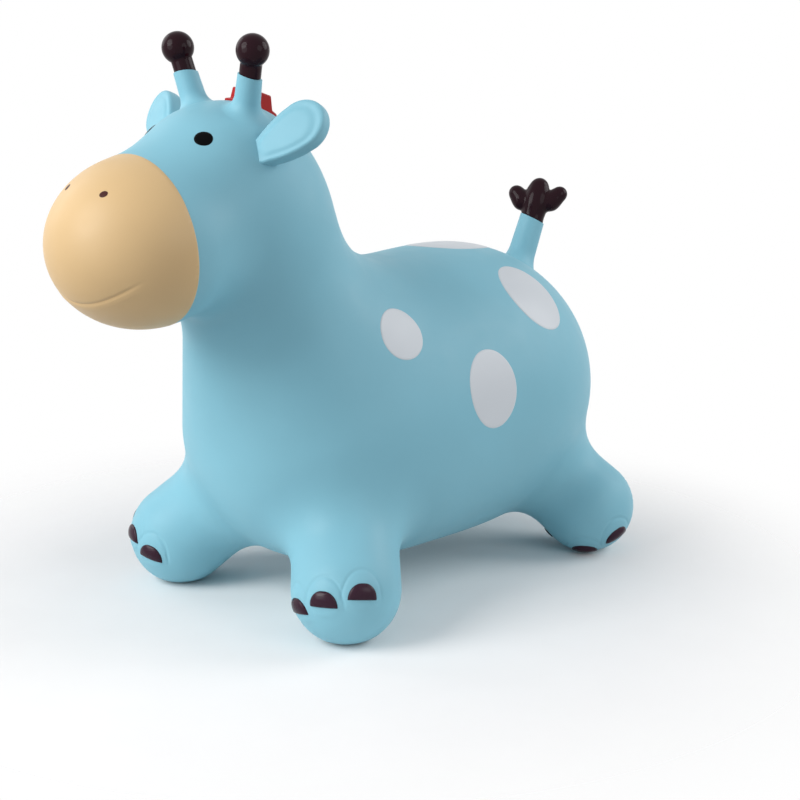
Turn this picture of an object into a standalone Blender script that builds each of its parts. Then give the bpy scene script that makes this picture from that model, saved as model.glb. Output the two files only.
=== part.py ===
"""Bouncy ride-on giraffe: a blow-moulded, air-filled vinyl hopper for a small child.

The animal faces -Y, its left side is +X, and its four soles stand on z = 0.  One smooth form
(trunk, neck, head, muzzle and legs, with wide fillets) is the mould.  The hollow skin, the leg
cups, the coloured coats and everything that stands on the skin take their place from that form.
"""

import math

import bmesh
import bpy
import numpy as np
from mathutils import Matrix, Vector

# Trunk: the barrel that the child sits on.
TRUNK_LENGTH = 0.304
TRUNK_WIDTH = 0.266
TRUNK_HEIGHT = 0.272
TRUNK_BACK = 0.138
BELLY_CLEARANCE = 0.023

# Chest and neck: one tapering column, rising forward out of the trunk.
CHEST_RADIUS = 0.121
CHEST_BACK = -0.023
CHEST_HEIGHT = 0.153
NECK_RADIUS = 0.062
NECK_BACK = -0.093
NECK_HEIGHT = 0.303

# Head and muzzle.
HEAD_WIDTH = 0.144
HEAD_LENGTH = 0.166
HEAD_HEIGHT = 0.153
HEAD_BACK = -0.130
HEAD_CENTRE_HEIGHT = 0.362
MUZZLE_WIDTH = 0.151
MUZZLE_LENGTH = 0.156
MUZZLE_HEIGHT = 0.136
MUZZLE_BACK = -0.211
MUZZLE_CENTRE_HEIGHT = 0.334
MUZZLE_NOD = math.radians(9.6)

# Legs: short splayed stubs with round ends, cut flat at the sole.
FRONT_FOOT_RADIUS = 0.0459
FRONT_FOOT_OUT = 0.107
FRONT_FOOT_BACK = -0.097
FRONT_HIP_RADIUS = 0.044
FRONT_HIP_OUT = 0.046
FRONT_HIP_BACK = -0.039
FRONT_HIP_HEIGHT = 0.113
REAR_FOOT_RADIUS = 0.0445
REAR_FOOT_OUT = 0.105
REAR_FOOT_BACK = 0.231
REAR_HIP_RADIUS = 0.041
REAR_HIP_OUT = 0.048
REAR_HIP_BACK = 0.207
REAR_HIP_HEIGHT = 0.091
SOLE_CUT = 0.003
LEG_SEAM = 0.030

# Fillets where the volumes run into each other, and the moulded wall.
NECK_FILLET = 0.102
HEAD_FILLET = 0.063
MUZZLE_FILLET = 0.025
LEG_FILLET = 0.031
WALL = 0.0022
GAP = 0.0003

# Sprayed coats: muzzle, spots, eyes and nostrils.
COAT = 0.0008
MUZZLE_EDGE_TOP = -0.2203
MUZZLE_EDGE_SLOPE = 0.100
MUZZLE_EDGE_BOW = 0.75
EYE_LENGTH = 0.0145
EYE_HEIGHT = 0.0122
EYE_OUT = 0.035
EYE_BACK = -0.177
NOSTRIL_SIZE = 0.0072
NOSTRIL_OUT = 0.0216
NOSTRIL_RISE = 0.043

# Spots: width, height, lean in degrees, and a point outward from which each meets the skin.
FLANK = TRUNK_WIDTH / 2
SPOTS = {
    "spot_front_left": (0.0445, 0.048, -15, (FLANK, -0.019, 0.2455)),
    "spot_rear_left": (0.0575, 0.070, -5, (FLANK, 0.062, 0.190)),
    "spot_haunch_left": (0.0625, 0.076, 11, (FLANK * 0.703, 0.157, 0.257)),
    "spot_haunch_right": (0.070, 0.088, -32, (-0.006, 0.150, 0.300)),
    "spot_front_right": (0.0445, 0.048, 15, (-FLANK, -0.010, 0.240)),
    "spot_rear_right": (0.0575, 0.070, 5, (-FLANK, 0.077, 0.186)),
}

# Nails: half discs on a fan of toes, given as degrees outward from straight ahead, degrees up
# and degrees that the nail leans over.
NAIL_WIDTH = 0.0245
NAIL_HEIGHT = 0.0135
NAIL_RISE = 0.0010
FRONT_TOES = ((-15, -7, 12), (21, 7, 3), (64, 16, -7))
REAR_TOES = ((-42, -40, 0), (36, -49, 0), (80, -23, 29))

# Horns: soft grips with a ball end.
HORN_OUT = 0.0306
HORN_BACK = -0.129
HORN_LEAN_FORWARD = math.radians(6.4)
HORN_LEAN_OUT = math.radians(17.5)
HORN_LENGTH = 0.0290
HORN_RADIUS = 0.0092
HORN_ROOT_RADIUS = 0.0150
HORN_LINE_TILT = math.radians(15)
HORN_COLLAR = 0.0088
HORN_COLLAR_HEIGHT = 0.0111
HORN_BALL_RADIUS = 0.0133

# Ears: thick leaves, dished in front.
EAR_LENGTH = 0.061
EAR_WIDTH = 0.040
EAR_THICKNESS = 0.015
EAR_DISH = 0.0028
EAR_OUT = 0.690
EAR_SWEEP = 0.460
EAR_RISE = 0.557
EAR_FACE = (0.21, -0.90, 0.37)
EAR_BEFORE_HEAD = 0.009
EAR_ABOVE_HEAD = 0.040

# Tail: a stalk with a dark tuft of three lobes.
TAIL_BACK = 0.245
TAIL_LEAN = math.radians(25)
TAIL_LENGTH = 0.055
TAIL_RADIUS = 0.0119
TAIL_ROOT_RADIUS = 0.0190
TUFT_LEAN = math.radians(14)
TUFT_HEIGHT = 0.041
TUFT_LOBE_RADIUS = 0.0117
TUFT_SIDE_REACH = 0.033
TUFT_SIDE_RISE = 0.025
TUFT_SIDE_RADIUS = 0.0092

# Mane: a short red crest on the crown, behind the horns.
MANE_FRONT = -0.1125
MANE_LENGTH = 0.031
MANE_WIDTH = 0.016
MANE_HEIGHT = 0.0115
MANE_FLANGE = 0.006
MANE_FLANGE_HEIGHT = 0.003

# Air valve, low on the rump under the tail, and its plug.
VALVE_HEIGHT = 0.115
VALVE_TUBE_RADIUS = 0.0072
VALVE_TUBE_LENGTH = 0.016
VALVE_LIP_RADIUS = 0.0115
VALVE_LIP = 0.0014
VALVE_BORE = 0.0042
PLUG_HEAD_RADIUS = 0.0070
PLUG_HEAD = 0.0022
PLUG_LENGTH = 0.0150
PLUG_RIB = 0.0004

# Facets.
FORM_VOXEL = 0.008
FORM_FACETS = 2800
ROUND_SIDES = 18
COAT_SIDES = 24

# Colours.
BLUE = (0.235, 0.475, 0.565)
BEIGE = (0.680, 0.485, 0.275)
WHITE = (0.640, 0.650, 0.680)
BROWN = (0.022, 0.009, 0.011)
BLACK = (0.006, 0.006, 0.007)
RED = (0.480, 0.012, 0.016)

SIDES = (("left", 1.0), ("right", -1.0))


def point(x, y, z):
    return np.array((x, y, z), dtype=float)


def unit(vector):
    return vector / np.linalg.norm(vector)


# The form, as one blended distance field.

TRUNK_CENTRE = point(0, TRUNK_BACK, BELLY_CLEARANCE + TRUNK_HEIGHT / 2)
TRUNK_RADII = point(TRUNK_WIDTH, TRUNK_LENGTH, TRUNK_HEIGHT) / 2
CHEST_CENTRE = point(0, CHEST_BACK, CHEST_HEIGHT)
NECK_CENTRE = point(0, NECK_BACK, NECK_HEIGHT)
HEAD_CENTRE = point(0, HEAD_BACK, HEAD_CENTRE_HEIGHT)
HEAD_RADII = point(HEAD_WIDTH, HEAD_LENGTH, HEAD_HEIGHT) / 2
MUZZLE_CENTRE = point(0, MUZZLE_BACK, MUZZLE_CENTRE_HEIGHT)
MUZZLE_RADII = point(MUZZLE_WIDTH, MUZZLE_LENGTH, MUZZLE_HEIGHT) / 2
FRONT_FOOT = point(FRONT_FOOT_OUT, FRONT_FOOT_BACK, FRONT_FOOT_RADIUS - SOLE_CUT)
FRONT_HIP = point(FRONT_HIP_OUT, FRONT_HIP_BACK, FRONT_HIP_HEIGHT)
REAR_FOOT = point(REAR_FOOT_OUT, REAR_FOOT_BACK, REAR_FOOT_RADIUS - SOLE_CUT)
REAR_HIP = point(REAR_HIP_OUT, REAR_HIP_BACK, REAR_HIP_HEIGHT)
LEGS = {
    "front": (FRONT_HIP, FRONT_FOOT, FRONT_HIP_RADIUS, FRONT_FOOT_RADIUS, FRONT_TOES),
    "rear": (REAR_HIP, REAR_FOOT, REAR_HIP_RADIUS, REAR_FOOT_RADIUS, REAR_TOES),
}


def nodded(offset, angle):
    """Offsets turned into the axes of a volume that nods its nose down by an angle."""
    along = offset[:, 1] * math.cos(angle) + offset[:, 2] * math.sin(angle)
    rise = offset[:, 2] * math.cos(angle) - offset[:, 1] * math.sin(angle)
    return np.stack((offset[:, 0], along, rise), axis=1)


def ellipsoid(points, centre, radii, nod=0.0):
    offset = nodded(points - centre, nod)
    reach = np.linalg.norm(offset / radii, axis=1) + 1e-9
    slope = np.linalg.norm(offset / radii**2, axis=1) + 1e-9
    return reach * (reach - 1.0) / slope


def round_cone(points, start, end, start_radius, end_radius):
    """Distance to the skin round a ball that shrinks on its way from start to end."""
    axis = end - start
    length = np.linalg.norm(axis)
    offset = points - start
    along = offset @ axis / length
    across = np.sqrt(np.maximum((offset**2).sum(axis=1) - along**2, 0.0))
    sine = (start_radius - end_radius) / length
    cosine = math.sqrt(1.0 - sine**2)
    station = np.clip((along - across * sine / cosine) / length, 0.0, 1.0)
    radius = start_radius + (end_radius - start_radius) * station
    return np.hypot(across, along - station * length) - radius


def fillet(first, second, width):
    """Union of two fields with a fillet of about the given width."""
    overlap = np.maximum(width - np.abs(first - second), 0.0) / width
    return np.minimum(first, second) - overlap**2 * width / 4


def form(points):
    """Signed distance to the outer face of the moulding, nearly true close to it."""
    mirrored = np.abs(points * (1, 0, 0)) + points * (0, 1, 1)
    field = ellipsoid(points, TRUNK_CENTRE, TRUNK_RADII)
    neck = round_cone(points, CHEST_CENTRE, NECK_CENTRE, CHEST_RADIUS, NECK_RADIUS)
    field = fillet(field, neck, NECK_FILLET)
    field = fillet(field, ellipsoid(points, HEAD_CENTRE, HEAD_RADII), HEAD_FILLET)
    field = fillet(field, ellipsoid(points, MUZZLE_CENTRE, MUZZLE_RADII, MUZZLE_NOD), MUZZLE_FILLET)
    for hip, foot, hip_radius, foot_radius, _toes in LEGS.values():
        field = fillet(field, round_cone(mirrored, hip, foot, hip_radius, foot_radius), LEG_FILLET)
    return field


def form_normals(points):
    step = 1e-4
    slopes = [form(points + step * axis) - form(points - step * axis) for axis in np.eye(3)]
    slopes = np.stack(slopes, axis=1)
    return slopes / np.linalg.norm(slopes, axis=1, keepdims=True)


def drawn_to_form(points):
    """Points moved along the field's slope until they lie on the form."""
    for _step in range(8):
        points = points - form(points)[:, None] * form_normals(points)
    return points


def laid_on_form(points, direction, level=0.0, reach=0.06):
    """Points moved along a direction that leaves the body, to a height above the form."""
    points = np.atleast_2d(points)
    inside = np.full(len(points), -reach)
    outside = np.full(len(points), reach)
    for _step in range(40):
        middle = (inside + outside) / 2
        out = form(points + middle[:, None] * direction) > level
        outside = np.where(out, middle, outside)
        inside = np.where(out, inside, middle)
    return points + outside[:, None] * direction


def foothold(x, y, z, direction):
    """One point on the form and the outward direction there."""
    spot = laid_on_form(point(x, y, z), unit(np.array(direction, dtype=float)), reach=0.08)
    return spot[0], form_normals(spot)[0]


# Blender helpers.


def clear_scene():
    for obj in list(bpy.data.objects):
        bpy.data.objects.remove(obj, do_unlink=True)


def finish(name, colour, roughness):
    material = bpy.data.materials.new(name)
    material.use_nodes = True
    shader = material.node_tree.nodes["Principled BSDF"]
    shader.inputs["Base Color"].default_value = (*colour, 1.0)
    shader.inputs["Roughness"].default_value = roughness
    shader.inputs["Metallic"].default_value = 0.0
    return material


def add_object(name, bm, material=None, pivot=(0, 0, 0)):
    """A bmesh in world places becomes an object whose origin is the pivot."""
    bmesh.ops.translate(bm, verts=bm.verts, vec=-Vector(pivot))
    bmesh.ops.recalc_face_normals(bm, faces=bm.faces)
    mesh = bpy.data.meshes.new(name)
    bm.to_mesh(mesh)
    bm.free()
    mesh.shade_smooth()
    mesh.set_sharp_from_angle(angle=math.radians(40))
    obj = bpy.data.objects.new(name, mesh)
    obj.location = pivot
    bpy.context.collection.objects.link(obj)
    if material:
        mesh.materials.append(material)
    return obj


def hide_helper(obj):
    obj.hide_render = True
    obj.display_type = "WIRE"
    return obj


def cut(obj, cutter, operation="DIFFERENCE"):
    boolean = obj.modifiers.new(cutter.name, "BOOLEAN")
    boolean.operation = operation
    boolean.solver = "EXACT"
    boolean.object = cutter


def loft(rings, first_pole=None, last_pole=None):
    """A closed skin through rings of equal count, ended by poles or flat caps."""
    bm = bmesh.new()
    loops = [[bm.verts.new(place) for place in ring] for ring in rings]
    for lower, upper in zip(loops, loops[1:]):
        for k in range(len(lower)):
            n = (k + 1) % len(lower)
            bm.faces.new((lower[k], lower[n], upper[n], upper[k]))
    for loop, pole in ((loops[0], first_pole), (loops[-1], last_pole)):
        if pole is None:
            bm.faces.new(loop)
            continue
        tip = bm.verts.new(pole)
        for k in range(len(loop)):
            bm.faces.new((loop[k], loop[(k + 1) % len(loop)], tip))
    return bm


def axes_along(direction):
    """Two unit vectors that span the plane across a direction."""
    direction = unit(direction)
    helper = point(1, 0, 0) if abs(direction[0]) < 0.7 else point(0, 1, 0)
    first = unit(np.cross(helper, direction))
    return first, np.cross(direction, first)


def ring_at(centre, direction, radius):
    """A ring of points round a centre, square to a direction."""
    first, second = axes_along(direction)
    turn = [2 * math.pi * k / ROUND_SIDES for k in range(ROUND_SIDES)]
    return [centre + radius * (math.cos(a) * first + math.sin(a) * second) for a in turn]


def slanted(ring, direction, slope):
    """A ring slid along a direction, so that its plane rises by a slope."""
    centre = sum(ring) / len(ring)
    return [place + direction * ((place - centre) @ slope) for place in ring]


def turned_rings(profile, base, direction):
    return [ring_at(base + height * direction, direction, radius) for radius, height in profile]


def turned(profile, base, direction):
    """A profile of (radius, height) pairs turned about a line; a radius of 0 at an end is a pole."""
    direction = unit(direction)
    poles = [base + height * direction if radius == 0.0 else None
             for radius, height in (profile[0], profile[-1])]
    return loft(turned_rings([pair for pair in profile if pair[0] > 0.0], base, direction), *poles)


# The moulding: one outer surface, from which skin and legs are cut.


def seed_balls():
    """Balls that fill the form roughly, as (centre, radii)."""
    yield TRUNK_CENTRE, TRUNK_RADII
    yield HEAD_CENTRE, HEAD_RADII
    yield MUZZLE_CENTRE, MUZZLE_RADII
    columns = [(CHEST_CENTRE, NECK_CENTRE, CHEST_RADIUS, NECK_RADIUS)]
    for _side, sign in SIDES:
        flip = point(sign, 1, 1)
        columns += [(hip * flip, foot * flip, hip_radius, foot_radius)
                    for hip, foot, hip_radius, foot_radius, _toes in LEGS.values()]
    for start, end, start_radius, end_radius in columns:
        for share in np.linspace(0.0, 1.0, 7):
            radius = start_radius + (end_radius - start_radius) * share
            yield start + (end - start) * share, np.full(3, radius)


def evaluated_bmesh(obj):
    depsgraph = bpy.context.evaluated_depsgraph_get()
    bm = bmesh.new()
    bm.from_object(obj, depsgraph)
    return bm


def places(bm):
    return np.array([vert.co for vert in bm.verts])


def set_places(bm, points):
    for vert, place in zip(bm.verts, points):
        vert.co = place


def fused_seeds():
    bm = bmesh.new()
    for centre, radii in seed_balls():
        matrix = Matrix.Translation(centre) @ Matrix.Diagonal((*radii, 1.0))
        bmesh.ops.create_icosphere(bm, subdivisions=4, radius=1.0, matrix=matrix)
    obj = add_object("form_seeds", bm)
    fuse = obj.modifiers.new("fuse", "REMESH")
    fuse.mode = "VOXEL"
    fuse.voxel_size = FORM_VOXEL
    relax = obj.modifiers.new("relax", "SMOOTH")
    relax.iterations = 12
    fused = evaluated_bmesh(obj)
    bpy.data.objects.remove(obj)
    return fused


def half_moulding():
    """The left half of the outer surface, drawn onto the form and thinned to its facets."""
    bm = fused_seeds()
    keep_one_side(bm, (0, 0, 0), (-1, 0, 0))
    set_places(bm, drawn_to_form(places(bm)))
    bmesh.ops.triangulate(bm, faces=bm.faces)
    share = FORM_FACETS / 2 / len(bm.faces)
    obj = add_object("form_half", bm)
    thin = obj.modifiers.new("thin", "DECIMATE")
    thin.ratio = share
    half = evaluated_bmesh(obj)
    bpy.data.objects.remove(obj)
    set_places(half, drawn_to_form(places(half)))
    for edge in half.edges:
        if edge.is_boundary:
            for vert in edge.verts:
                vert.co.x = 0.0
    return half


def moulding():
    """The whole outer surface as a bmesh, the same on both sides."""
    bm = half_moulding()
    geometry = bm.verts[:] + bm.edges[:] + bm.faces[:]
    bmesh.ops.mirror(bm, geom=geometry, axis="X", merge_dist=1e-5)
    bmesh.ops.recalc_face_normals(bm, faces=bm.faces)
    return bm


def lifted(bm, height):
    """A copy of a bmesh with every point moved out from the form."""
    copy = bm.copy()
    points = places(copy)
    set_places(copy, points + height * form_normals(points))
    return copy


def keep_one_side(bm, place, outward, cap=False):
    """Cuts a bmesh at a plane and keeps what lies against the outward direction."""
    geometry = bm.verts[:] + bm.edges[:] + bm.faces[:]
    result = bmesh.ops.bisect_plane(
        bm, geom=geometry, dist=1e-5, plane_co=place, plane_no=outward, clear_outer=True)
    if cap:
        edges = [item for item in result["geom_cut"] if isinstance(item, bmesh.types.BMEdge)]
        bmesh.ops.edgeloop_fill(bm, edges=edges)


def walled(outer, inner):
    """Joins an outer and an inner face at their open edges into one wall."""
    bmesh.ops.reverse_faces(inner, faces=inner.faces)
    mesh = bpy.data.meshes.new("inner")
    inner.to_mesh(mesh)
    inner.free()
    outer.from_mesh(mesh)
    bpy.data.meshes.remove(mesh)
    rims = open_loops(outer)
    while rims:
        first = rims.pop()
        second = min(rims, key=lambda other: (loop_centre(other) - loop_centre(first)).length)
        rims.remove(second)
        bmesh.ops.bridge_loops(outer, edges=first + second)
    return outer


def loop_centre(edges):
    return sum((vert.co for edge in edges for vert in edge.verts), Vector()) / (2 * len(edges))


def open_loops(bm):
    """The open edges of a bmesh, as one list for each closed run, in the order of their edges."""
    waiting = {edge: None for edge in bm.edges if edge.is_boundary}
    loops = []
    while waiting:
        edge = next(iter(waiting))
        run = [edge]
        del waiting[edge]
        for edge in run:
            for vert in edge.verts:
                near = [other for other in vert.link_edges if other in waiting]
                for other in near:
                    del waiting[other]
                run += near
        loops.append(run)
    return loops


def leg_axis(leg, sign):
    hip, foot = LEGS[leg][:2]
    flip = point(sign, 1, 1)
    return foot * flip, unit((foot - hip) * flip)


def add_body_skin(outer, material):
    """The skin of trunk, neck, head and muzzle, open where the leg cups join it."""
    bm = outer.copy()
    for leg in LEGS:
        for _side, sign in SIDES:
            foot, axis = leg_axis(leg, sign)
            keep_one_side(bm, foot - axis * (LEG_SEAM + GAP / 2), axis)
    return add_object("body_skin", walled(bm, lifted(bm, -WALL)), material)


def add_leg(outer, leg, side, sign, material):
    """One leg cup, open at its seam with the skin and flat at its sole."""
    foot, axis = leg_axis(leg, sign)
    bm = outer.copy()
    keep_one_side(bm, foot - axis * (LEG_SEAM - GAP / 2), -axis)
    inner = lifted(bm, -WALL)
    keep_one_side(bm, (0, 0, 0), (0, 0, -1), cap=True)
    keep_one_side(inner, (0, 0, WALL), (0, 0, -1), cap=True)
    return add_object(f"leg_{leg}_{side}", walled(bm, inner), material)


# Coats and nails: thin plates that lie on the form.


def plate(outline, centre, normal, up, thickness, base=0.0, edge=0.85):
    """A plate with an outline in (across, up) pairs, laid on the form and softened at its edge."""
    across = unit(np.cross(up, normal))
    up = np.cross(normal, across)
    outline = np.array(outline)
    flat = outline[:, :1] * across + outline[:, 1:] * up
    under, over = base + GAP, base + GAP + thickness
    layers = [(0.6, under), (1.0, under), (1.0, under + thickness * 0.6), (edge, over), (0.5, over)]
    rings = [laid_on_form(centre + flat * share, normal, level) for share, level in layers]
    poles = [laid_on_form(centre, normal, level)[0] for level in (under, over)]
    return loft(rings, *poles)


def oval(width, height, turn=0.0, count=COAT_SIDES):
    """An oval outline whose height leans over by a turn."""
    steps = [2 * math.pi * k / count for k in range(count)]
    pairs = [(width / 2 * math.cos(a), height / 2 * math.sin(a)) for a in steps]
    cosine, sine = math.cos(turn), math.sin(turn)
    return [(u * cosine - v * sine, u * sine + v * cosine) for u, v in pairs]


def half_disc(width, height, lean, count=12):
    """A nail's outline: an arch over a flat edge, leaning over by a turn."""
    arch = [(width / 2 * math.cos(math.pi * k / count), height * math.sin(math.pi * k / count))
            for k in range(count + 1)]
    flat = [(-width / 6, 0.0), (width / 6, 0.0)]
    outline = [(u, v - height * 0.45) for u, v in arch + flat]
    cosine, sine = math.cos(lean), math.sin(lean)
    return [(u * cosine - v * sine, u * sine + v * cosine) for u, v in outline]


def muzzle_line(points):
    """How far back the muzzle's colour reaches, at the width and height of each point."""
    drop = MUZZLE_CENTRE_HEIGHT + MUZZLE_HEIGHT / 2 - points[:, 2]
    return MUZZLE_EDGE_TOP + MUZZLE_EDGE_SLOPE * drop - MUZZLE_EDGE_BOW * points[:, 0] ** 2


def add_muzzle_coat(outer, material):
    """The beige coat over the front of the muzzle; a shear turns its bowed colour line into a plane."""
    bm = outer.copy()
    points = places(bm)
    points[:, 1] -= muzzle_line(points)
    set_places(bm, points)
    keep_one_side(bm, (0, 0, 0), (0, 1, 0))
    points = places(bm)
    points[:, 1] += muzzle_line(points)
    set_places(bm, points)
    coat = walled(lifted(bm, GAP + COAT), lifted(bm, GAP))
    bm.free()
    return add_object("muzzle_coat", coat, material)


def add_spots(material, cutter, coat_form):
    """Plain oval spots, cut out of the thin layer between two lifted forms."""
    for name, (width, height, lean, (x, y, z)) in SPOTS.items():
        outward = point(x, 0, z - TRUNK_CENTRE[2]) if "haunch" in name else point(x, 0, 0)
        centre, normal = foothold(x, y, z, outward)
        across = unit(np.cross(point(0, 0, 1), normal))
        up = np.cross(normal, across)
        outline = np.array([u * across + v * up for u, v in oval(width, height, math.radians(lean))])
        deep = normal * height / 2
        spot = add_object(name, loft([centre + outline - deep, centre + outline + deep]), material)
        cut(spot, coat_form, "INTERSECT")
        cut(spot, cutter)


def add_eyes(eye_material, nostril_material):
    upright = point(0, 0, 1)
    for side, sign in SIDES:
        above = HEAD_CENTRE_HEIGHT + HEAD_HEIGHT / 2
        centre, normal = foothold(sign * EYE_OUT, EYE_BACK, above, upright)
        eye = plate(oval(EYE_LENGTH, EYE_HEIGHT, count=16), centre, normal, upright, COAT)
        add_object(f"eye_{side}", eye, eye_material)
        nose = MUZZLE_BACK - MUZZLE_LENGTH / 2
        height = MUZZLE_CENTRE_HEIGHT + NOSTRIL_RISE
        centre, normal = foothold(sign * NOSTRIL_OUT, nose, height, (0, -1, 0))
        outline = oval(NOSTRIL_SIZE, NOSTRIL_SIZE, count=12)
        nostril = plate(outline, centre, normal, upright, COAT, GAP + COAT)
        add_object(f"nostril_{side}", nostril, nostril_material)


def add_nails(leg, side, sign, material):
    """Three nails on the fan of toes of one foot."""
    _hip, foot, _hip_radius, foot_radius, toes = LEGS[leg]
    flip = point(sign, 1, 1)
    for number, (outward, rise, lean) in enumerate(toes, start=1):
        turn, lift = math.radians(outward), math.radians(rise)
        level = math.cos(lift)
        ray = point(math.sin(turn) * level, -math.cos(turn) * level, math.sin(lift)) * flip
        centre = laid_on_form(foot * flip + ray * foot_radius, ray)[0]
        normal = form_normals(centre[None])[0]
        outline = half_disc(NAIL_WIDTH, NAIL_HEIGHT, math.radians(lean) * sign)
        bm = plate(outline, centre, normal, point(0, 0, 1), NAIL_RISE)
        add_object(f"nail_{leg}_{side}_{number}", bm, material)


# Horns, ears, tail and mane: seated on the skin by a cut with the lifted form.


def add_horn(side, sign, stem_material, tip_material, cutter):
    """A flared stem to the colour line, and the dark collar and ball above it."""
    root, _normal = foothold(sign * HORN_OUT, HORN_BACK, HEAD_CENTRE_HEIGHT + HEAD_HEIGHT / 2, (0, 0, 1))
    axis = unit(point(sign * math.tan(HORN_LEAN_OUT), -math.tan(HORN_LEAN_FORWARD), 1.0))
    sunk = HORN_ROOT_RADIUS * 0.8
    flare = HORN_ROOT_RADIUS - HORN_RADIUS
    profile = [(HORN_ROOT_RADIUS * 1.2, -sunk), (HORN_ROOT_RADIUS, 0.0),
               (HORN_RADIUS + flare * 0.45, flare), (HORN_RADIUS + flare * 0.2, flare * 2),
               (HORN_RADIUS, HORN_LENGTH)]
    slope = point(0, -math.tan(HORN_LINE_TILT), 0)
    rings = turned_rings(profile, root, axis)
    rings[-1] = slanted(rings[-1], axis, slope)
    stem = add_object(f"horn_{side}", loft(rings), stem_material, root)
    cut(stem, cutter)
    line = root + axis * (HORN_LENGTH + GAP)
    ball = HORN_COLLAR_HEIGHT + math.sqrt(HORN_BALL_RADIUS**2 - HORN_COLLAR**2)
    start = math.pi - math.asin(HORN_COLLAR / HORN_BALL_RADIUS)
    profile = [(HORN_COLLAR, 0.0)]
    for step in range(8):
        angle = start * (1 - step / 8)
        profile.append((HORN_BALL_RADIUS * math.sin(angle), ball + HORN_BALL_RADIUS * math.cos(angle)))
    rings = turned_rings(profile, line, axis)
    rings[0] = slanted(rings[0], axis, slope)
    tip = loft(rings, None, line + axis * (ball + HORN_BALL_RADIUS))
    add_object(f"horn_tip_{side}", tip, tip_material, root)


def add_ear(side, sign, material, cutter):
    """A leaf that stands out, up and back from the side of the head."""
    back, height = HEAD_BACK - EAR_BEFORE_HEAD, HEAD_CENTRE_HEIGHT + EAR_ABOVE_HEAD
    root, _normal = foothold(sign * HEAD_WIDTH / 2, back, height, (sign, 0, 0))
    axis = unit(point(EAR_OUT * sign, EAR_SWEEP, EAR_RISE))
    front = unit(np.cross(np.cross(axis, point(sign, 1, 1) * EAR_FACE), axis))
    across = np.cross(front, axis)
    rings = []
    shares = (-0.22, 0.0, 0.2, 0.4, 0.6, 0.78, 0.91, 0.98)
    for share in shares:
        width = EAR_WIDTH / 2 * leaf_width(share)
        depth = EAR_THICKNESS / 2 * min(1.0, leaf_width(share) * 1.15)
        ring = []
        for k in range(ROUND_SIDES):
            angle = 2 * math.pi * k / ROUND_SIDES
            u, v = math.cos(angle), math.sin(angle)
            dish = EAR_DISH * max(v, 0.0) * (1 - u * u) * 2 * max(share, 0.0)
            ring.append(root + axis * EAR_LENGTH * share + across * width * u + front * (depth * v - dish))
        rings.append(ring)
    bm = loft(rings, None, root + axis * EAR_LENGTH)
    cut(add_object(f"ear_{side}", bm, material, root), cutter)


def leaf_width(share):
    """A paddle's width along its length: narrower at the root, widest past the middle, round at the tip."""
    swell = 0.74 + 0.26 * math.sin(math.pi / 2 * min(max(share, 0.0) / 0.65, 1.0))
    tip = math.sqrt(max(1.0 - max((share - 0.62) / 0.38, 0.0) ** 2, 0.0))
    return swell * tip


def tail_line():
    """Root of the tail on the rump, and the centre of its colour line."""
    root, _normal = foothold(0, TAIL_BACK, TRUNK_CENTRE[2] + TRUNK_HEIGHT / 2, (0, 0, 1))
    axis = point(0, math.sin(TAIL_LEAN), math.cos(TAIL_LEAN))
    return root, axis, root + axis * TAIL_LENGTH


def add_tail(stalk_material, tuft_material, cutter):
    root, axis, line = tail_line()
    flare = TAIL_ROOT_RADIUS - TAIL_RADIUS
    profile = [(TAIL_ROOT_RADIUS * 1.25, -TAIL_ROOT_RADIUS), (TAIL_ROOT_RADIUS, 0.0),
               (TAIL_RADIUS + flare * 0.5, flare * 1.2), (TAIL_RADIUS + flare * 0.2, flare * 3),
               (TAIL_RADIUS, TAIL_LENGTH)]
    stalk = add_object("tail_stalk", turned(profile, root, axis), stalk_material, root)
    cut(stalk, cutter)
    foot = line + axis * GAP
    lean = point(0, math.sin(TUFT_LEAN), math.cos(TUFT_LEAN))
    neck = foot + axis * TUFT_HEIGHT * 0.2
    rise = TUFT_HEIGHT * 0.8
    rings = [ring_at(foot, axis, TAIL_RADIUS)]
    for step in range(6):
        angle = math.pi / 2 * step / 6
        radius = TUFT_LOBE_RADIUS * math.cos(angle) ** 0.8
        rings.append(ring_at(neck + lean * rise * math.sin(angle), lean, radius))
    tuft = add_object("tail_tuft", loft(rings, None, neck + lean * rise), tuft_material, root)
    for side, sign in SIDES:
        start = neck + lean * TUFT_SIDE_RADIUS * 0.5
        tip = foot + lean * TUFT_SIDE_RISE + point(sign * TUFT_SIDE_REACH, 0, 0)
        reach = np.linalg.norm(tip - start)
        rounds = [(0.0, 0.0), (0.55, 0.04), (0.8, 0.25), (1.0, 0.6), (0.9, 0.82), (0.55, 0.95), (0.0, 1.0)]
        profile = [(TUFT_SIDE_RADIUS * wide, reach * share) for wide, share in rounds]
        lobe = add_object(f"tuft_lobe_{side}", turned(profile, start, tip - start))
        cut(tuft, hide_helper(lobe), "UNION")


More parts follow.
